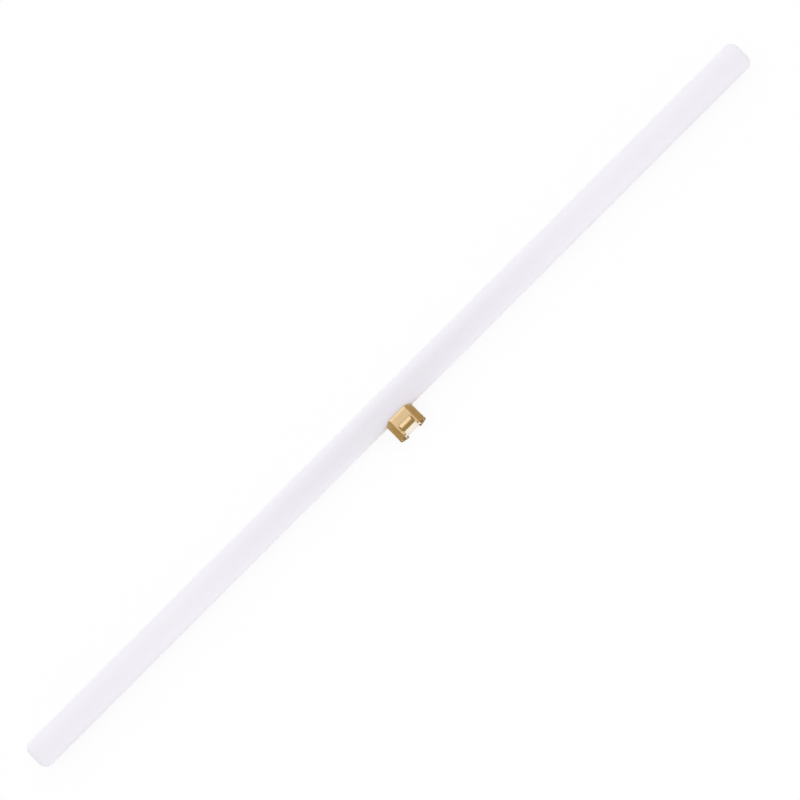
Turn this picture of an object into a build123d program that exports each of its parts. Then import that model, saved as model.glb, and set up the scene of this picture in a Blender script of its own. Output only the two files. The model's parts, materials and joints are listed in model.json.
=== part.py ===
"""Opal line lamp: a long sealed tube with one two-contact brass cap in the middle of its length.

The lamp is built with its tube along X, the tube's axis at Z = 0 and the cap pointing up.
It is then tipped over onto the floor, where it rests on the tube and on the rim of the cap.
All sizes are millimetres.
"""

from build123d import *
import math
import os

# Sealed tube
tube_length = 1000.0
tube_diameter = 31.75
end_flat_diameter = 19.0
shoulder_depth = 4.0
shoulder_radius = 6.0
end_edge_radius = 2.0

# Brass shell of the cap: a drawn sheet, oblong with sloping corners
cap_length = 34.3
cap_thickness = 15.2
cap_height = 21.3
corner_run = 6.85
corner_rise = 4.4
broad_corner_radius = 3.6
end_corner_radius = 1.6
sheet_thickness = 0.5
saddle_gap = 0.1

# Foot of the shell, where the broad walls lean in towards the tube
foot_height = 1.2
foot_angle = 8.0

# Turned-in rim at the shell's open end
rim_inside_radius = 0.5
rim_lip_width = 0.7

# Legs of the shell, left standing on both sides of the notch
leg_flat_length = 2.55
notch_depth = 3.0
notch_corner_radius = 0.8

# Raised boss above the notch, pressed out of both broad walls
boss_end_margin = 1.65
boss_width = 8.2
boss_height = 1.2
boss_side_height = 0.2
boss_corner_radius = 2.5
boss_side_angle = 40.0
boss_end_angle = 56.0
boss_edge_radius = 0.5
boss_root_radius = 0.5
boss_to_notch = 0.4

# Moulded insulator
insulator_height = 6.5
insulator_gap = 0.1
groove_depth = 2.0
groove_side_room = 1.4
groove_edge_radius = 0.4

# Riveted contacts, let into pockets in the insulator
contact_thickness = 0.8
contact_pocket = 0.5
contact_margin = 0.9
contact_land = 1.2
contact_edge_radius = 0.25
rivet_diameter = 2.6
rivet_gap = 0.05
rivet_tail = 1.2

# Cement that holds the shell on the tube, and the lead-in wires through it
cement_depth = 4.0
lead_diameter = 1.0

# How near counts as the same place when edges are picked
hair = 0.001

# Heights above the tube's axis, with the cap pointing up
tube_radius = tube_diameter / 2
foot_top_height = tube_radius + foot_height
rim_height = tube_radius + cap_height
leg_face_height = rim_height - sheet_thickness
notch_height = rim_height - notch_depth
boss_centre_height = notch_height - boss_to_notch - boss_width / 2
insulator_base_height = leg_face_height - insulator_height
groove_floor_height = rim_height - groove_depth
contact_base_height = leg_face_height - contact_pocket
contact_face_height = contact_base_height + contact_thickness
rivet_end_height = insulator_base_height - rivet_tail
cement_height = tube_radius + cement_depth

# Outlines across the cap, each named by its depth inside the shell's outer wall
half_thickness = cap_thickness / 2
rim_outside_radius = rim_inside_radius + sheet_thickness
lip_edge_inset = rim_outside_radius + rim_lip_width
contact_inset = lip_edge_inset + contact_margin
insulator_inset = sheet_thickness + insulator_gap

# Places along the tube
broad_wall_length = cap_length - 2 * corner_run
notch_width = broad_wall_length - 2 * leg_flat_length
boss_length = broad_wall_length - 2 * boss_end_margin
groove_width = notch_width + 2 * groove_side_room
contact_start = groove_width / 2 + contact_land
contact_end = cap_length / 2 - contact_inset
rivet_offset = (contact_start + contact_end) / 2

# The foot reaches down to where the broad walls meet the tube
foot_base_height = math.sqrt(tube_radius**2 - half_thickness**2)

# The face of the boss is crowned: it is part of a round bar along the cap, lower at its long sides
boss_crown_rise = boss_height - boss_side_height
boss_crown_radius = ((boss_width / 2) ** 2 + boss_crown_rise**2) / (2 * boss_crown_rise)
boss_crown_depth = half_thickness + boss_height - boss_crown_radius


def rest_angle(height, depth, radius):
    """Tilt, in radians, at which a round edge of the cap comes down to the floor under the tube."""
    reach = math.hypot(height, depth)
    return math.asin((tube_radius - radius) / reach) - math.atan2(depth, height)


# The cap comes down until its rim or its boss meets the floor, whichever is first
rim_bend_height = rim_height - rim_outside_radius
rim_bend_depth = half_thickness - rim_outside_radius
cap_tilt = min(
    rest_angle(rim_bend_height, rim_bend_depth, rim_outside_radius),
    rest_angle(boss_centre_height, boss_crown_depth, boss_crown_radius),
)
cap_reach = (
    rim_bend_height * math.cos(cap_tilt) + rim_bend_depth * math.sin(cap_tilt) + rim_outside_radius
)
footprint_shift = (cap_reach - tube_radius) / 2


def at_place(shapes, axis, place):
    """Those edges or corners whose middle lies at a place along an axis."""
    return shapes.filter_by_position(axis, place - hair, place + hair)


def cap_outline(inset):
    """Outline across the cap, inset from the shell's outer wall: broad walls, sloping corners and ends."""
    half_length = cap_length / 2
    half_broad = broad_wall_length / 2
    half_end = half_thickness - corner_rise
    outline = make_face(
        Polyline(
            (half_length, half_end),
            (half_broad, half_thickness),
            (-half_broad, half_thickness),
            (-half_length, half_end),
            (-half_length, -half_end),
            (-half_broad, -half_thickness),
            (half_broad, -half_thickness),
            (half_length, -half_end),
            close=True,
        )
    )
    for side in (-1, 1):
        outline = fillet(at_place(outline.vertices(), Axis.X, side * half_length), end_corner_radius)
        outline = fillet(at_place(outline.vertices(), Axis.Y, side * half_thickness), broad_corner_radius)
    if inset > 0:
        outline = offset(outline, -inset)
    return outline


def oblong(inset, low, high):
    """Upright oblong block, inset from the shell's outer wall."""
    return Pos(0, 0, low) * extrude(cap_outline(inset), high - low)


def cup(inset, high):
    """Oblong block that stands on the tube, with broad walls that lean in at its foot."""
    wall = half_thickness - inset
    foot_wall = wall - (foot_top_height - foot_base_height) * math.tan(math.radians(foot_angle))
    profile = make_face(
        Polyline(
            (foot_wall, foot_base_height),
            (wall, foot_top_height),
            (wall, high),
            (-wall, high),
            (-wall, foot_top_height),
            (-foot_wall, foot_base_height),
            close=True,
        )
    )
    lean = extrude(Plane.YZ * profile, cap_length / 2, both=True)
    return oblong(inset, foot_base_height, high) & lean


def rounded_top(block, height, radius):
    """The block with the edges of its top face rounded."""
    return fillet(at_place(block.edges(), Axis.Z, height), radius)


def along_tube(radius, length):
    """Round bar on the tube's axis."""
    return Rot(0, 90, 0) * Cylinder(radius, length)


def upright_rod(radius, low, high, offset):
    """Round rod across the tube, at an offset along it."""
    rod = Cylinder(radius, high - low, align=(Align.CENTER, Align.CENTER, Align.MIN))
    return Pos(offset, 0, low) * rod


def opal_tube():
    """Sealed tube, turned from its outline: flat end, conical shoulder and straight wall."""
    half_length = tube_length / 2
    flat_radius = end_flat_diameter / 2
    wall_start = half_length - shoulder_depth
    outline = make_face(
        Polyline(
            (-half_length, 0),
            (-half_length, flat_radius),
            (-wall_start, tube_radius),
            (wall_start, tube_radius),
            (half_length, flat_radius),
            (half_length, 0),
            close=True,
        )
    )
    outline = fillet(at_place(outline.vertices(), Axis.Y, tube_radius), shoulder_radius)
    outline = fillet(at_place(outline.vertices(), Axis.Y, flat_radius), end_edge_radius)
    return revolve(outline, Axis.X)


def boss_pad(skin):
    """Crowned pad with sloping sides and ends on a broad wall; the hollow behind it is a skin smaller."""
    rise = boss_height + sheet_thickness
    foot_size, head_size = [], []
    for size, angle in ((boss_length, boss_end_angle), (boss_width, boss_side_angle)):
        lean = math.radians(angle)
        foot_size.append(size - 2 * skin * (1 - math.sin(lean)) / math.cos(lean))
        head_size.append(foot_size[-1] - 2 * rise * math.tan(lean))
    foot_corner = boss_corner_radius - (boss_width - foot_size[1]) / 2
    head_corner = boss_corner_radius - (boss_width - head_size[1]) / 2
    wall = Plane((0, half_thickness - skin, boss_centre_height), x_dir=(1, 0, 0), z_dir=(0, 1, 0))
    foot = wall * RectangleRounded(*foot_size, foot_corner)
    head = wall.offset(rise) * RectangleRounded(*head_size, head_corner)
    crown = along_tube(boss_crown_radius - skin, boss_length)
    return loft([foot, head], ruled=True) & Pos(0, boss_crown_depth, boss_centre_height) * crown


def with_boss(block):
    """The block with a boss on both broad walls and a soft crease round each."""
    boss = boss_pad(0)
    crown_face = boss.faces().sort_by(Axis.Y)[-1]
    boss = fillet(crown_face.edges(), boss_edge_radius)
    for turn in (0, 180):
        block += Rot(0, 0, turn) * boss
    half_width = boss_width / 2 + hair
    half_length = boss_length / 2 + hair
    near_boss = block.edges().filter_by_position(
        Axis.Z, boss_centre_height - half_width, boss_centre_height + half_width
    )
    near_boss = near_boss.filter_by_position(Axis.X, -half_length, half_length)
    creases = ShapeList()
    for wall in (-half_thickness, half_thickness):
        creases += at_place(near_boss, Axis.Y, wall)
    return fillet(creases, boss_root_radius)


def notch():
    """Cutter for the notch through both broad walls and the rim."""
    opening = 2 * notch_depth
    outline = RectangleRounded(notch_width, opening, notch_corner_radius)
    face = Plane.XZ * Pos(0, notch_height + opening / 2) * outline
    return extrude(face, cap_thickness, both=True)


def base_shell():
    """Drawn brass shell: oblong wall, leaning foot, turned-in rim, bosses, notch and saddle edge."""
    outside = rounded_top(cup(0, rim_height), rim_height, rim_outside_radius)
    outside = with_boss(outside)
    inside = cup(sheet_thickness, leg_face_height)
    inside = rounded_top(inside, leg_face_height, rim_inside_radius)
    for turn in (0, 180):
        inside += Rot(0, 0, turn) * boss_pad(sheet_thickness)
    shell = outside - inside - oblong(lip_edge_inset, leg_face_height, rim_height)
    shell -= along_tube(tube_radius + saddle_gap, tube_length)
    return shell - notch()


def groove():
    """Cutter for the groove between the contacts, with a rounded mouth."""
    wall = groove_width / 2
    land_end = wall + contact_land
    outline = make_face(
        Polyline(
            (-land_end, leg_face_height),
            (-wall, leg_face_height),
            (-wall, groove_floor_height),
            (wall, groove_floor_height),
            (wall, leg_face_height),
            (land_end, leg_face_height),
            (land_end, rim_height),
            (-land_end, rim_height),
            close=True,
        )
    )
    mouth = at_place(outline.vertices(), Axis.Y, leg_face_height)
    mouth = mouth.filter_by_position(Axis.X, -wall - hair, wall + hair)
    return extrude(Plane.XZ * fillet(mouth, groove_edge_radius), cap_thickness, both=True)


def base_insulator():
    """Moulded block behind the rim's lip: a groove across it, two pockets and two rivet holes."""
    block = oblong(insulator_inset, insulator_base_height, leg_face_height)
    block = rounded_top(block, leg_face_height, rim_inside_radius + insulator_gap)
    block -= groove()
    hole_radius = rivet_diameter / 2 + rivet_gap
    for side in (-1, 1):
        offset = side * rivet_offset
        block -= upright_rod(hole_radius, insulator_base_height, leg_face_height, offset)
        block -= contact_plate(side, rivet_gap)
    return block


def contact_plate(side, gap):
    """Plate of a contact, cut off straight beside the groove; gap widens it for its pocket."""
    plate = oblong(contact_inset - gap, contact_base_height, contact_face_height)
    keep = Box(cap_length, cap_thickness, rim_height, align=(Align.MIN, Align.CENTER, Align.MIN))
    if side < 0:
        keep = Rot(0, 0, 180) * keep
    return plate & Pos(side * (contact_start - gap), 0, 0) * keep


def contact(side):
    """Contact plate with its rivet shank and tail, one piece."""
    plate = rounded_top(contact_plate(side, 0), contact_face_height, contact_edge_radius)
    offset = side * rivet_offset
    return plate + upright_rod(rivet_diameter / 2, rivet_end_height, contact_base_height, offset)


def lead_wire(side):
    """Straight lead-in wire from the tube's wall to the tail of a rivet."""
    wire = upright_rod(lead_diameter / 2, 0, rivet_end_height, side * rivet_offset)
    return wire - along_tube(tube_radius, tube_length)


def base_cement():
    """Cement that fills the shell where it sits on the tube, with the lead-in wires cast in."""
    cement = cup(sheet_thickness, cement_height)
    cement -= along_tube(tube_radius, tube_length)
    for side in (-1, 1):
        cement -= lead_wire(side)
    return cement


pieces = {
    "opal_tube": opal_tube(),
    "base_shell": base_shell(),
    "base_insulator": base_insulator(),
    "base_cement": base_cement(),
    "contact_left": contact(-1),
    "contact_right": contact(1),
    "lead_wire_left": lead_wire(-1),
    "lead_wire_right": lead_wire(1),
}

# Tip the lamp over, put it on the floor and centre its footprint on the origin
lay_down = Pos(0, footprint_shift, tube_radius) * Rot(90 + math.degrees(cap_tilt), 0, 0)

os.makedirs("parts", exist_ok=True)
for name, piece in pieces.items():
    export_step(lay_down * piece, f"parts/{name}.step")

print("cap tilt", round(math.degrees(cap_tilt), 3), "degrees")
print("footprint shift", round(footprint_shift, 3), "rim height", round(rim_height, 3))
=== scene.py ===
# %% [markdown]
# # An opal line lamp and its looks
# The lamp is one metre of white opal glass tube, sealed at both ends, with a single brass cap across its
# middle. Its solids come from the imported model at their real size, in metres, already lying on the floor.
# This lesson gives each of them the surface of the real thing, and then sets up the floor, the light and
# the camera.

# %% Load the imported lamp
import json
import math

import bmesh
import bpy
from mathutils import Matrix, Vector


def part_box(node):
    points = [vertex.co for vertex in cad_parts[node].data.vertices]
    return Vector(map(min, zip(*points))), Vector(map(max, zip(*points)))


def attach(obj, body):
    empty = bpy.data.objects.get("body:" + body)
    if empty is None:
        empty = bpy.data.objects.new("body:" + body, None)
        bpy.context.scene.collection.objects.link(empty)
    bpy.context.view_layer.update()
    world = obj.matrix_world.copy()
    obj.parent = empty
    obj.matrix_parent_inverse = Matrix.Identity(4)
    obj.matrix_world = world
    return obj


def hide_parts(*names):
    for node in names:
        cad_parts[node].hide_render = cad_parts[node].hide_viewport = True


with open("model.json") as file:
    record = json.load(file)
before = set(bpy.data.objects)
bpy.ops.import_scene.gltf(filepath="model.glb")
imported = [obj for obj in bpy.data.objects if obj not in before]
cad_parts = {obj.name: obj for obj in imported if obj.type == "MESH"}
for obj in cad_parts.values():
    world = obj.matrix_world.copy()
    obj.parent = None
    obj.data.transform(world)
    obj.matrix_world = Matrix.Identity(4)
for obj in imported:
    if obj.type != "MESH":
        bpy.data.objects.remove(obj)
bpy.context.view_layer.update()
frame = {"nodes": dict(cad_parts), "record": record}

MM = 0.001
print("nodes:", ", ".join(sorted(frame["nodes"])))

# %% [markdown]
# ## Where the lamp lies
# Nothing is measured twice. The box round the tube's solid gives its axis and its length, and the plug-in
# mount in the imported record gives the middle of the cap's rim and the way in which the cap points.
# The cap isn't level: the lamp rests on its tube and on the rim of the cap, so the cap dips towards the
# floor.

# %% Measure the tube and the cap
tube_low, tube_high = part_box("opal_tube")
tube_radius = max(tube_high.y - tube_low.y, tube_high.z - tube_low.z) / 2
tube_half_length = (tube_high.x - tube_low.x) / 2
tube_middle = (tube_low + tube_high) / 2

plug = next(mount for mount in frame["record"]["mounts"] if mount["name"] == "plug_in_cap")
rim_middle = Vector(plug["pos_m"])
cap_points_to = Vector(plug["axis"])
cap_dip = math.asin(-cap_points_to.z)
print("tube radius, mm:", round(tube_radius / MM, 3), "half length, mm:", round(tube_half_length / MM, 2))
print("tube middle, mm:", [round(place / MM, 3) for place in tube_middle])
print("cap dips by", round(math.degrees(cap_dip), 2), "degrees")

# %% [markdown]
# ## The opal tube: its shape
# On the real lamp this is a drawn glass tube. Its ends were softened in a flame and pressed to a flat face,
# with a cone between the face and the wall.
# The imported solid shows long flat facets. Subdividing it would round the ends too much, and a bevelled curve
# has no shoulders, so the outline of the glass is turned about the tube's axis, which gives even rings and
# clean shading.

# %% Draw the outline of the glass
END_FACE_RADIUS = 9.5 * MM
END_EDGE_ROUND = 2.0 * MM
SHOULDER_DEPTH = 4.0 * MM
SHOULDER_ROUND = 6.0 * MM
ARC_STEPS = 8


def rounded_corner(before, corner, after, radius):
    """Points on the arc that rounds the corner between two straight lines."""
    to_before = (before - corner).normalized()
    to_after = (after - corner).normalized()
    half_angle = to_before.angle(to_after) / 2
    reach = radius / math.tan(half_angle)
    centre = corner + (to_before + to_after).normalized() * radius / math.sin(half_angle)
    first_spoke = (corner + to_before * reach - centre).normalized()
    last_spoke = (corner + to_after * reach - centre).normalized()
    turns = [step / ARC_STEPS for step in range(ARC_STEPS + 1)]
    return [centre + radius * first_spoke.slerp(last_spoke, turn) for turn in turns]


face_middle = Vector((tube_half_length, 0))
face_edge = Vector((tube_half_length, END_FACE_RADIUS))
shoulder = Vector((tube_half_length - SHOULDER_DEPTH, tube_radius))
wall_middle = Vector((0, tube_radius))
end_outline = [face_middle]
end_outline += rounded_corner(face_middle, face_edge, shoulder, END_EDGE_ROUND)
end_outline += rounded_corner(face_edge, shoulder, wall_middle, SHOULDER_ROUND)
print("outline of one end:", len(end_outline), "points")

# %% Turn the outline about the axis
WALL_STEPS = 40
TURN_STEPS = 128
SAME_POINT = 0.001 * MM

wall_start = end_outline[-1]
wall_stop = Vector((-wall_start.x, wall_start.y))
wall = [wall_start.lerp(wall_stop, step / WALL_STEPS) for step in range(1, WALL_STEPS)]
far_end = [Vector((-point.x, point.y)) for point in reversed(end_outline)]

turning = bmesh.new()
rail = [turning.verts.new((point.x, 0, point.y)) for point in end_outline + wall + far_end]
runs = [turning.edges.new(pair) for pair in zip(rail, rail[1:])]
bmesh.ops.spin(
    turning,
    geom=rail + runs,
    cent=(0, 0, 0),
    axis=(1, 0, 0),
    angle=math.tau,
    steps=TURN_STEPS,
    use_merge=True,
)
bmesh.ops.remove_doubles(turning, verts=turning.verts, dist=SAME_POINT)
bmesh.ops.recalc_face_normals(turning, faces=turning.faces)
for face in turning.faces:
    face.smooth = True
glass_mesh = bpy.data.meshes.new("opal_tube_glass")
turning.to_mesh(glass_mesh)
turning.free()
print("turned glass:", len(glass_mesh.polygons), "faces")

# %% Put the glass in the solid's place
glass = bpy.data.objects.new("opal_tube_glass", glass_mesh)
glass.location = tube_middle
bpy.context.scene.collection.objects.link(glass)
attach(glass, "root")
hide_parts("opal_tube")
print("glass lies at", [round(place / MM, 2) for place in glass.location])

# %% [markdown]
# ## Helpers for every finish
# Colours are easiest to pick as sRGB hex values, the way that a paint chart or a photograph gives them, but
# shaders work with linear light. One function turns the first into the second.
# Materials are graphs of nodes. One function adds a node, sets its properties and fills its sockets, each
# with a value or with a link from another node's output.
# A pattern convinces only at its real size. The clouds, lines, grain and crumb on this lamp are all uneven
# lumps of some length, width and height, so one function chains the nodes that such a pattern takes.

# %% Turn a hex colour into linear light
def linear(hex_colour):
    """Linear RGBA of an sRGB colour such as #EFECF3."""
    channels = []
    for start in (1, 3, 5):
        share = int(hex_colour[start:start + 2], 16) / 255
        channels.append(share / 12.92 if share <= 0.04045 else ((share + 0.055) / 1.055) ** 2.4)
    return (*channels, 1.0)


print("middle grey #808080 is", round(linear("#808080")[0], 3), "of full light")

# %% Add a node with its settings and links
def add(tree, kind, sockets=None, **settings):
    """New node: settings are its properties, and sockets maps an input to a value or to an output to link."""
    made = tree.nodes.new(kind)
    for name, value in settings.items():
        setattr(made, name, value)
    for name, value in (sockets or {}).items():
        if isinstance(value, bpy.types.NodeSocket):
            tree.links.new(value, made.inputs[name])
        else:
            made.inputs[name].default_value = value
    return made


def new_finish(name):
    """Empty material and its tree of nodes."""
    material = bpy.data.materials.new(name)
    material.use_nodes = True
    material.node_tree.nodes.clear()
    return material, material.node_tree


# A colour Mix node has one set of sockets for each kind of data, so these are given by number
MIX_FACTOR, MIX_FIRST, MIX_SECOND, MIX_RESULT = 0, 6, 7, 2
print("colour Mix nodes take sockets", MIX_FACTOR, MIX_FIRST, MIX_SECOND, "and give", MIX_RESULT)

# %% Chain the nodes of a pattern
def sized_pattern(tree, lump, detail, middle=(0, 0, 0), turn=(0, 0, 0)):
    """Uneven lumps, as long in metres along X, Y and Z as lump says, in a frame with a middle and a turn."""
    place = add(tree, "ShaderNodeTexCoord").outputs["Object"]
    counted = add(
        tree,
        "ShaderNodeMapping",
        {"Vector": place, "Location": middle, "Rotation": turn, "Scale": lump},
        vector_type="TEXTURE",
    )
    uneven = add(tree, "ShaderNodeTexNoise", {"Vector": counted.outputs[0], "Scale": 1, "Detail": detail})
    return uneven.outputs["Fac"]


print("patterns are measured in metres from the origin of each object")

# %% [markdown]
# ## The opal tube: its finish
# Opal glass, drawn hot: soda-lime glass made milky by fine crystals, with a satin skin.
# To the eye it is a soft white with a breath of lavender, no sharp highlight, faint clouds where the milk is
# thicker, and fine lines along the tube from the drawing. Beside the cap a painted shade darkens the glass,
# and it weakens towards the ends, the back and the underside.
# A plain white would look like a painted stick, so the clouds, the lines and the painted shade each get a
# pattern in millimetres, and light is let a few millimetres into the surface.

# %% Make the opal glass
def drawn_opal_glass():
    """Milky soda-lime glass with a satin skin, clouds, draw lines and a painted shade beside the cap."""
    cloud_size = 14 * MM
    line_width = 2.5 * MM     # real draw lines are about 0.3 mm wide: this is as fine as the picture can show
    line_length = 350 * MM
    line_depth = 0.05 * MM
    light_depth = 4 * MM
    smoothest, roughest = 0.5, 0.64
    thin_milk, thick_milk, painted_shade_milk = linear("#EEEAF2"), linear("#EFEEF4"), linear("#E4E1E8")
    shade_full, shade_gone = 15 * MM, 300 * MM
    painted_shade_fades = (    # the painted shade fades to the back and underneath: where it is gone, and where it is full
        ("Y", 0.6 * tube_radius, -0.55 * tube_radius),
        ("Z", -0.4 * tube_radius, 0.5 * tube_radius),
    )
    material, tree = new_finish("drawn_opal_glass")
    clouds = sized_pattern(tree, (cloud_size,) * 3, detail=2)
    milk = add(
        tree,
        "ShaderNodeMix",
        {MIX_FACTOR: clouds, MIX_FIRST: thin_milk, MIX_SECOND: thick_milk},
        data_type="RGBA",
    )
    place = add(tree, "ShaderNodeTexCoord").outputs["Object"]
    apart = add(tree, "ShaderNodeSeparateXYZ", {"Vector": place}).outputs
    from_middle = add(tree, "ShaderNodeMath", {0: apart["X"]}, operation="ABSOLUTE").outputs[0]
    # painted shade: the glass is made darker beside the cap, and less so towards the ends
    near_cap = add(
        tree,
        "ShaderNodeMapRange",
        {"Value": from_middle, "From Min": shade_full, "From Max": shade_gone, "To Min": 1, "To Max": 0},
    )
    shade = near_cap.outputs[0]
    for axis, gone, full in painted_shade_fades:
        side = add(
            tree,
            "ShaderNodeMapRange",
            {"Value": apart[axis], "From Min": gone, "From Max": full},
            interpolation_type="SMOOTHSTEP",
        )
        both = add(tree, "ShaderNodeMath", {0: shade, 1: side.outputs[0]}, operation="MULTIPLY")
        shade = both.outputs[0]
    milk_with_painted_shade = add(
        tree,
        "ShaderNodeMix",
        {MIX_FACTOR: shade, MIX_FIRST: milk.outputs[MIX_RESULT], MIX_SECOND: painted_shade_milk},
        data_type="RGBA",
    )
    lines = sized_pattern(tree, (line_length, line_width, line_width), detail=1)
    satin = add(tree, "ShaderNodeMapRange", {"Value": lines, "To Min": smoothest, "To Max": roughest})
    relief = add(tree, "ShaderNodeBump", {"Height": lines, "Strength": 0.3, "Distance": line_depth})
    skin = add(
        tree,
        "ShaderNodeBsdfPrincipled",
        {
            "Base Color": milk_with_painted_shade.outputs[MIX_RESULT],
            "Roughness": satin.outputs[0],
            "Normal": relief.outputs[0],
            "IOR": 1.52,
            "Subsurface Weight": 0.3,
            "Subsurface Radius": (1, 1, 1),
            "Subsurface Scale": light_depth,
        },
    )
    add(tree, "ShaderNodeOutputMaterial", {"Surface": skin.outputs[0]})
    return material


glass.data.materials.append(drawn_opal_glass())
print("opal glass on", glass.name)

# %% [markdown]
# ## The brass shell
# Brass sheet, deep drawn: an oblong cup with a boss pressed out of each broad wall, a notch and a turned-in
# rim.
# To the eye it is warm yellow metal with fine lines up the walls from the drawing die, brighter where the
# die burnished it, and brown in the creases and inside: partly tarnish, and partly painted shade.
# The solid already has the right shape, so it stays, and only its finish is made here. The draw lines are
# measured in the cap's own frame, so that they run along the cap and not along the floor. The tarnish and the
# painted shade could be painted by hand, but the Ambient Occlusion node finds the creases and the inside by
# itself.

# %% Dress solids, and find the cap's own frame
def dress(material, *nodes):
    """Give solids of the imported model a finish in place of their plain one."""
    for name in nodes:
        slots = frame["nodes"][name].material_slots
        for slot in slots:
            slot.material = material
        print(material.name, "on", name, "in", len(slots), "slot")


cap_frame = {"middle": rim_middle, "turn": (cap_dip, 0, 0)}
print("cap frame turned by", round(math.degrees(cap_dip), 2), "degrees about the tube")

# %% Make the drawn brass
def drawn_brass_sheet():
    """Deep-drawn brass: draw lines up the walls, a cloudy burnish, and tarnish and painted shade in the
    creases.
    """
    line_width = 0.8 * MM     # real draw lines are about 0.1 mm wide: this is as fine as the picture can show
    line_length = 12 * MM
    line_depth = 0.02 * MM
    burnish_size = 5 * MM
    crease_reach = 16 * MM    # about as far as the cap is thick, so that its inside gets the painted shade too
    full_tarnish_and_shade, no_tarnish_or_shade = 0.7, 1.0    # how open the brass is where it is brown, and where it is bright
    smoothest, roughest = 0.24, 0.4
    dull_brass, bright_brass, tarnish_and_painted_shade = linear("#E0C294"), linear("#EFD5AD"), linear("#5A4C38")
    material, tree = new_finish("drawn_brass_sheet")
    burnish = sized_pattern(tree, (burnish_size,) * 3, detail=3)
    metal = add(
        tree,
        "ShaderNodeMix",
        {MIX_FACTOR: burnish, MIX_FIRST: dull_brass, MIX_SECOND: bright_brass},
        data_type="RGBA",
    )
    # painted shade, with some real tarnish: the brass turns brown where the Ambient Occlusion node finds it
    # closed in
    sky = add(tree, "ShaderNodeAmbientOcclusion", {"Distance": crease_reach}, samples=8, only_local=True)
    open_share = add(
        tree,
        "ShaderNodeMapRange",
        {"Value": sky.outputs["AO"], "From Min": full_tarnish_and_shade, "From Max": no_tarnish_or_shade},
    )
    brass_with_tarnish_and_shade = add(
        tree,
        "ShaderNodeMix",
        {MIX_FACTOR: open_share.outputs[0], MIX_FIRST: tarnish_and_painted_shade, MIX_SECOND: metal.outputs[MIX_RESULT]},
        data_type="RGBA",
    )
    lines = sized_pattern(tree, (line_width, line_length, line_width), detail=2, **cap_frame)
    polish = add(tree, "ShaderNodeMapRange", {"Value": lines, "To Min": smoothest, "To Max": roughest})
    relief = add(tree, "ShaderNodeBump", {"Height": lines, "Strength": 0.4, "Distance": line_depth})
    skin = add(
        tree,
        "ShaderNodeBsdfPrincipled",
        {
            "Base Color": brass_with_tarnish_and_shade.outputs[MIX_RESULT],
            "Metallic": 1,
            "Roughness": polish.outputs[0],
            "Normal": relief.outputs[0],
        },
    )
    add(tree, "ShaderNodeOutputMaterial", {"Surface": skin.outputs[0]})
    return material


dress(drawn_brass_sheet(), "base_shell")

# %% [markdown]
# ## The white insulator
# Urea resin, hot moulded: a hard, creamy white block that fills the open end of the cap and shows in the
# notch.
# To the eye it is a warm white with a soft gloss, a little uneven where the powder flowed and set.
# One cream all over would look like paper, so the flow gets a pattern in the colour, and the moulded grain
# one in the gloss.

# %% Make the moulded resin
def moulded_urea_resin():
    """Creamy white hot-moulded resin with faint flow clouds and a fine moulded grain."""
    flow_size = 3 * MM
    grain_size = 0.4 * MM     # real grain is about 0.1 mm: it is drawn coarser, to show in a close view
    grain_depth = 0.02 * MM
    smoothest, roughest = 0.35, 0.5
    deep_cream, pale_cream = linear("#FDF3E6"), linear("#FFF8EE")
    material, tree = new_finish("moulded_urea_resin")
    flow = sized_pattern(tree, (flow_size,) * 3, detail=2)
    cream = add(
        tree,
        "ShaderNodeMix",
        {MIX_FACTOR: flow, MIX_FIRST: deep_cream, MIX_SECOND: pale_cream},
        data_type="RGBA",
    )
    grain = sized_pattern(tree, (grain_size,) * 3, detail=1)
    gloss = add(tree, "ShaderNodeMapRange", {"Value": grain, "To Min": smoothest, "To Max": roughest})
    relief = add(tree, "ShaderNodeBump", {"Height": grain, "Strength": 0.2, "Distance": grain_depth})
    skin = add(
        tree,
        "ShaderNodeBsdfPrincipled",
        {
            "Base Color": cream.outputs[MIX_RESULT],
            "Roughness": gloss.outputs[0],
            "Normal": relief.outputs[0],
            "IOR": 1.55,
        },
    )
    add(tree, "ShaderNodeOutputMaterial", {"Surface": skin.outputs[0]})
    return material


dress(moulded_urea_resin(), "base_insulator")

# %% [markdown]
# ## The contacts
# Brass plate, stamped and riveted: harder and duller than the shell, with a matt face where the holder's
# springs rub.
# To the eye it is a deeper yellow brass with a fine sanded grain and small spots of tarnish.
# It could share the shell's finish, but draw lines would be wrong on a stamped plate, so it has its own.

# %% Make the stamped brass
def stamped_contact_brass():
    """Dull stamped brass with a sanded grain and spots of tarnish."""
    spot_size = 1.5 * MM
    grain_size = 0.25 * MM    # real grain is about 0.05 mm: it is drawn coarser, to show in a close view
    grain_depth = 0.02 * MM
    smoothest, roughest = 0.35, 0.55
    spotted_brass, clean_brass = linear("#D9B57C"), linear("#EBCB98")
    material, tree = new_finish("stamped_contact_brass")
    spots = sized_pattern(tree, (spot_size,) * 3, detail=3)
    metal = add(
        tree,
        "ShaderNodeMix",
        {MIX_FACTOR: spots, MIX_FIRST: spotted_brass, MIX_SECOND: clean_brass},
        data_type="RGBA",
    )
    grain = sized_pattern(tree, (grain_size,) * 3, detail=1)
    matt = add(tree, "ShaderNodeMapRange", {"Value": grain, "To Min": smoothest, "To Max": roughest})
    relief = add(tree, "ShaderNodeBump", {"Height": grain, "Strength": 0.3, "Distance": grain_depth})
    skin = add(
        tree,
        "ShaderNodeBsdfPrincipled",
        {
            "Base Color": metal.outputs[MIX_RESULT],
            "Metallic": 1,
            "Roughness": matt.outputs[0],
            "Normal": relief.outputs[0],
        },
    )
    add(tree, "ShaderNodeOutputMaterial", {"Surface": skin.outputs[0]})
    return material


dress(stamped_contact_brass(), "contact_left", "contact_right")

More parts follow.
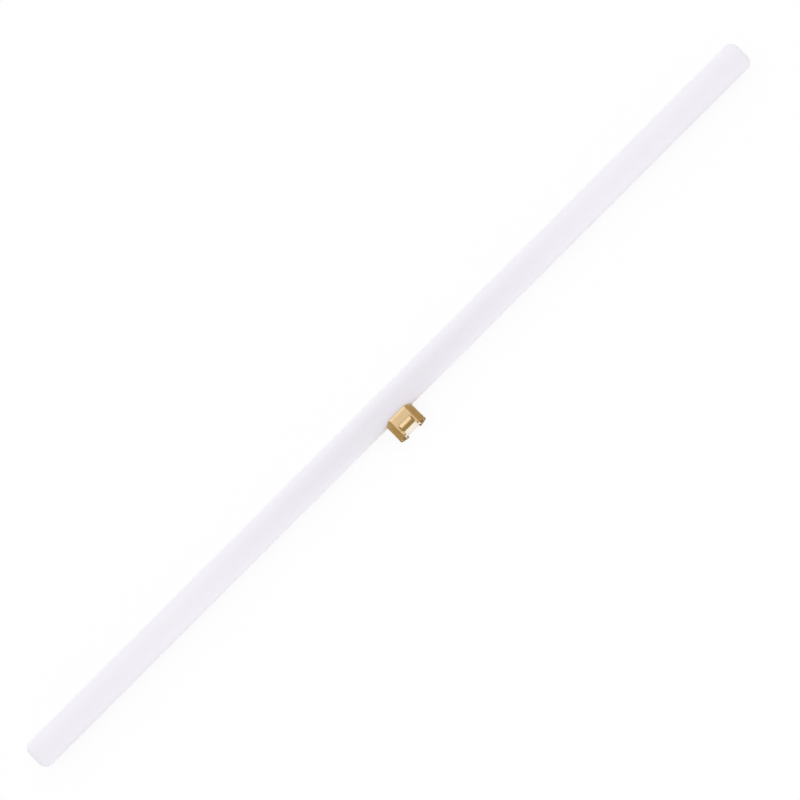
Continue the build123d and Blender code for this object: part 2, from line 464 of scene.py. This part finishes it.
# %% [markdown]
# ## The cement in the cap
# Capping cement, baked: marble flour bound with resin, pressed into the shell and cured on the glass.
# To the eye it is a chalky, warm grey crumb with no shine. Its crumbs could be modelled one by one, but
# little of it shows, in the gap round the shell's edge, so a bump is enough.

# %% Make the baked cement
def baked_capping_cement():
    """Chalky grey cement with a crumb of marble flour."""
    crumb_size = 0.8 * MM
    crumb_depth = 0.1 * MM
    grey_binder, pale_flour = linear("#A79E90"), linear("#D2CBBF")
    material, tree = new_finish("baked_capping_cement")
    crumb = sized_pattern(tree, (crumb_size,) * 3, detail=3)
    chalk = add(
        tree,
        "ShaderNodeMix",
        {MIX_FACTOR: crumb, MIX_FIRST: grey_binder, MIX_SECOND: pale_flour},
        data_type="RGBA",
    )
    relief = add(tree, "ShaderNodeBump", {"Height": crumb, "Strength": 0.6, "Distance": crumb_depth})
    skin = add(
        tree,
        "ShaderNodeBsdfPrincipled",
        {
            "Base Color": chalk.outputs[MIX_RESULT],
            "Roughness": 0.9,
            "Normal": relief.outputs[0],
            "IOR": 1.5,
        },
    )
    add(tree, "ShaderNodeOutputMaterial", {"Surface": skin.outputs[0]})
    return material


dress(baked_capping_cement(), "base_cement")

# %% [markdown]
# ## The lead-in wires
# Nickel-iron wire, drawn: two stiff grey wires from the glass to the contacts, shut inside the cap.
# To the eye it is a soft grey metal with lines along it. A plain grey would do for wires that nobody sees,
# but they are dressed like the rest, for whoever opens the cap.

# %% Make the drawn wire
def drawn_nickel_iron_wire():
    """Grey drawn wire with die lines along it."""
    line_width = 0.2 * MM     # real die lines are about 0.02 mm wide: drawn coarser, to show in a close view
    line_length = 6 * MM
    smoothest, roughest = 0.25, 0.4
    dark_grey, light_grey = linear("#A39D94"), linear("#C4BFB6")
    material, tree = new_finish("drawn_nickel_iron_wire")
    lines = sized_pattern(tree, (line_width, line_length, line_width), detail=1, **cap_frame)
    metal = add(
        tree,
        "ShaderNodeMix",
        {MIX_FACTOR: lines, MIX_FIRST: dark_grey, MIX_SECOND: light_grey},
        data_type="RGBA",
    )
    polish = add(tree, "ShaderNodeMapRange", {"Value": lines, "To Min": smoothest, "To Max": roughest})
    skin = add(
        tree,
        "ShaderNodeBsdfPrincipled",
        {"Base Color": metal.outputs[MIX_RESULT], "Metallic": 1, "Roughness": polish.outputs[0]},
    )
    add(tree, "ShaderNodeOutputMaterial", {"Surface": skin.outputs[0]})
    return material


dress(drawn_nickel_iron_wire(), "lead_wire_left", "lead_wire_right")

# %% [markdown]
# ## The white floor
# A product picture on white needs a floor that the camera sees as white, and that still takes the lamp's
# shadow.
# A white floor under strong light would burn the pale glass out, so most of the floor's white is its own
# glow, shown only to the camera, to reflections and through glass. The rest is white paper, which darkens
# in the shadow. A reflection shows less of the glow, so that the metal also mirrors the shadow under the
# lamp. Other rays meet plain white paper, so the floor throws no more light on the lamp than paper would.

# %% Make the white paper
FLOOR_GLOW = 0.9
MIRRORED_GLOW = 0.4
PURE_WHITE = linear("#FFFFFF")


def white_share(tree, camera, mirror):
    """How much of the white background a ray sees: from the camera, or in a reflection and through glass."""
    path = add(tree, "ShaderNodeLightPath").outputs
    looked_at = add(tree, "ShaderNodeMath", {0: path["Is Camera Ray"], 1: camera}, operation="MULTIPLY")
    bent = add(
        tree,
        "ShaderNodeMath",
        {0: path["Is Glossy Ray"], 1: path["Is Transmission Ray"]},
        operation="MAXIMUM",
    )
    mirrored = add(tree, "ShaderNodeMath", {0: bent.outputs[0], 1: mirror}, operation="MULTIPLY")
    share = add(
        tree,
        "ShaderNodeMath",
        {0: looked_at.outputs[0], 1: mirrored.outputs[0]},
        operation="MAXIMUM",
    )
    return share.outputs[0]


floor_finish, tree = new_finish("white_paper_floor")
paper = add(tree, "ShaderNodeBsdfDiffuse", {"Color": linear("#F8F8F8")})
glow = add(tree, "ShaderNodeEmission", {"Color": PURE_WHITE, "Strength": 1.0})
shares = white_share(tree, camera=FLOOR_GLOW, mirror=MIRRORED_GLOW)
surface = add(tree, "ShaderNodeMixShader", {0: shares, 1: paper.outputs[0], 2: glow.outputs[0]})
add(tree, "ShaderNodeOutputMaterial", {"Surface": surface.outputs[0]})
print("paper glows by", FLOOR_GLOW, "to the camera and by", MIRRORED_GLOW, "in reflections")

# %% Lay the floor
FLOOR_SIZE = 60.0

bpy.ops.mesh.primitive_plane_add(size=FLOOR_SIZE)
floor = bpy.context.object
floor.name = "floor"
floor.data.materials.append(floor_finish)
print("floor of", FLOOR_SIZE, "m laid")

# %% [markdown]
# ## The white room
# Soft light from all sides could come from many softboxes, but one white world gives it without a seam.
# The camera and the metal see it as plain white. The light that it throws on the lamp is a little weaker,
# so that the pale glass stays below white.

# %% Fill the room with soft light
ROOM_LIGHT = 0.91

world = bpy.data.worlds.new("white_room")
bpy.context.scene.world = world
world.use_nodes = True
tree = world.node_tree
tree.nodes.clear()
soft = add(tree, "ShaderNodeBackground", {"Color": PURE_WHITE, "Strength": ROOM_LIGHT})
white = add(tree, "ShaderNodeBackground", {"Color": PURE_WHITE, "Strength": 1.0})
shares = white_share(tree, camera=1.0, mirror=1.0)
room = add(tree, "ShaderNodeMixShader", {0: shares, 1: soft.outputs[0], 2: white.outputs[0]})
add(tree, "ShaderNodeOutputWorld", {"Surface": room.outputs[0]})
print("room light", ROOM_LIGHT)

# %% [markdown]
# ## Three softboxes
# The room alone would light the glass flat. It should be a little brighter along its far side, so one
# softbox hangs behind the lamp, and a smaller one fills the front from low down. Both are long, because the
# lamp is long.
# A tiny one in front lights the white resin in the cap's notch. Only the back one shows in reflections:
# the other two would wash the metal out.

# %% Hang the softboxes
def softbox(name, place, size, light, mirrored):
    """Area light aimed at the middle of the tube. Light is how bright its face is, where white paper is 1."""
    lamp = bpy.data.lights.new(name, "AREA")
    lamp.shape = "RECTANGLE"
    lamp.size, lamp.size_y = size
    lamp.energy = light * math.pi * lamp.size * lamp.size_y
    holder = bpy.data.objects.new(name, lamp)
    holder.location = place
    holder.rotation_euler = (tube_middle - holder.location).to_track_quat("-Z", "Y").to_euler()
    holder.visible_glossy = mirrored
    bpy.context.scene.collection.objects.link(holder)
    print(name, "of", size, "m, energy", round(lamp.energy, 2), "W")


softbox("back_softbox", Vector((0, 1.2, 1.3)), size=(4.4, 2.5), light=0.3, mirrored=True)
softbox("front_fill", Vector((0, -1.8, 0.5)), size=(3.0, 0.8), light=0.4, mirrored=False)
softbox("cap_fill", Vector((0, -0.6, 0.15)), size=(0.3, 0.2), light=1.6, mirrored=False)

# %% [markdown]
# ## Brown cards for the brass
# Polished metal in an all-white room has no shape: every wall mirrors the same white. So large brown cards
# stand to the left and right of the lamp and in front of it, as a photographer sets them, and a small one
# lies under the cap as a painted shadow. The sloping corners, the rim and the lower half of the boss mirror
# those.
# The large cards stand far off, so that the long tube mirrors them evenly from end to end. Each card glows
# with its own colour and is shown to reflections only, so all of them are painted reflections.

# %% Stand the cards round the cap
SIDE_TAN = "#A99665"
FRONT_BROWN = "#A69465"
STRAIGHT_UP = Vector((0, 0, 1))
FLOOR_CARD_MIDDLE = Vector((0, -65, 0.2)) * MM
FLOOR_CARD_SIZE = (120 * MM, 110 * MM)


def glowing_reflection_card(name, colour, place, faces, size):
    """Card that glows with a colour at a place, turned to face a way, and shows only in reflections: a painted
    reflection.
    """
    finish, tree = new_finish(name)
    # painted reflection: the card glows with its own colour instead of being lit
    matt = add(tree, "ShaderNodeEmission", {"Color": linear(colour), "Strength": 1.0})
    add(tree, "ShaderNodeOutputMaterial", {"Surface": matt.outputs[0]})
    bpy.ops.mesh.primitive_plane_add(size=1)
    card = bpy.context.object
    card.name = name
    card.data.materials.append(finish)
    card.location = place
    card.rotation_euler = faces.to_track_quat("Z", "Y").to_euler()
    card.scale = (*size, 1)
    card.visible_camera = False
    card.visible_diffuse = False
    card.visible_transmission = False
    card.visible_shadow = False
    print(name, "at, m:", [round(step, 2) for step in card.location])


for name, colour, stands, size in (
    ("card_left", SIDE_TAN, Vector((-2.6, 0.6, 1.5)), (7.0, 4.0)),
    ("card_right", SIDE_TAN, Vector((2.6, 0.6, 1.5)), (7.0, 4.0)),
    ("card_front", FRONT_BROWN, Vector((0, -2.0, 2.2)), (5.0, 5.4)),
):
    glowing_reflection_card(name, colour, rim_middle + stands, -stands, size)
# painted shadow: a brown card under the cap, which the rim and the boss mirror as the shade on the floor
glowing_reflection_card("card_floor_painted_shadow", FRONT_BROWN, FLOOR_CARD_MIDDLE, STRAIGHT_UP, FLOOR_CARD_SIZE)

# %% [markdown]
# ## The camera
# A short lens close by would splay the tube's two edges, so a long one looks from far off. It sees the lamp
# from the side that the cap points to, and from well above. The camera is rolled by 45 degrees, which runs
# the tube from corner to corner.

# %% Place the camera
PICTURE = 800                      # pixels across
PIXEL = 0.999 * MM                 # as much of the lamp as one pixel shows
MIDDLE_PIXEL = (388.45, 405.25)    # where the middle of the tube falls, from the top left
LOOK_DOWN = math.radians(57.5)
LENS = 400.0
SENSOR = 36.0
FARTHEST_SEEN = 100.0

towards_camera = Vector((0, -math.cos(LOOK_DOWN), math.sin(LOOK_DOWN)))
level_up = Vector((0, math.sin(LOOK_DOWN), math.cos(LOOK_DOWN)))
right = (Vector((1, 0, 0)) - level_up).normalized()
up = (Vector((1, 0, 0)) + level_up).normalized()
distance = PICTURE * PIXEL * LENS / SENSOR
across = (PICTURE / 2 - MIDDLE_PIXEL[0]) * PIXEL
down = (PICTURE / 2 - MIDDLE_PIXEL[1]) * PIXEL
aim = tube_middle + across * right - down * up

lens = bpy.data.cameras.new("camera")
lens.lens = LENS
lens.sensor_width = SENSOR
lens.clip_end = FARTHEST_SEEN
camera = bpy.data.objects.new("camera", lens)
turn = Matrix((right, up, towards_camera)).transposed()
camera.matrix_world = Matrix.Translation(aim + towards_camera * distance) @ turn.to_4x4()
bpy.context.scene.collection.objects.link(camera)
bpy.context.scene.camera = camera
bpy.context.scene.view_settings.view_transform = "Standard"
print("camera", round(distance, 2), "m away, looking down by", round(math.degrees(LOOK_DOWN), 1), "degrees")
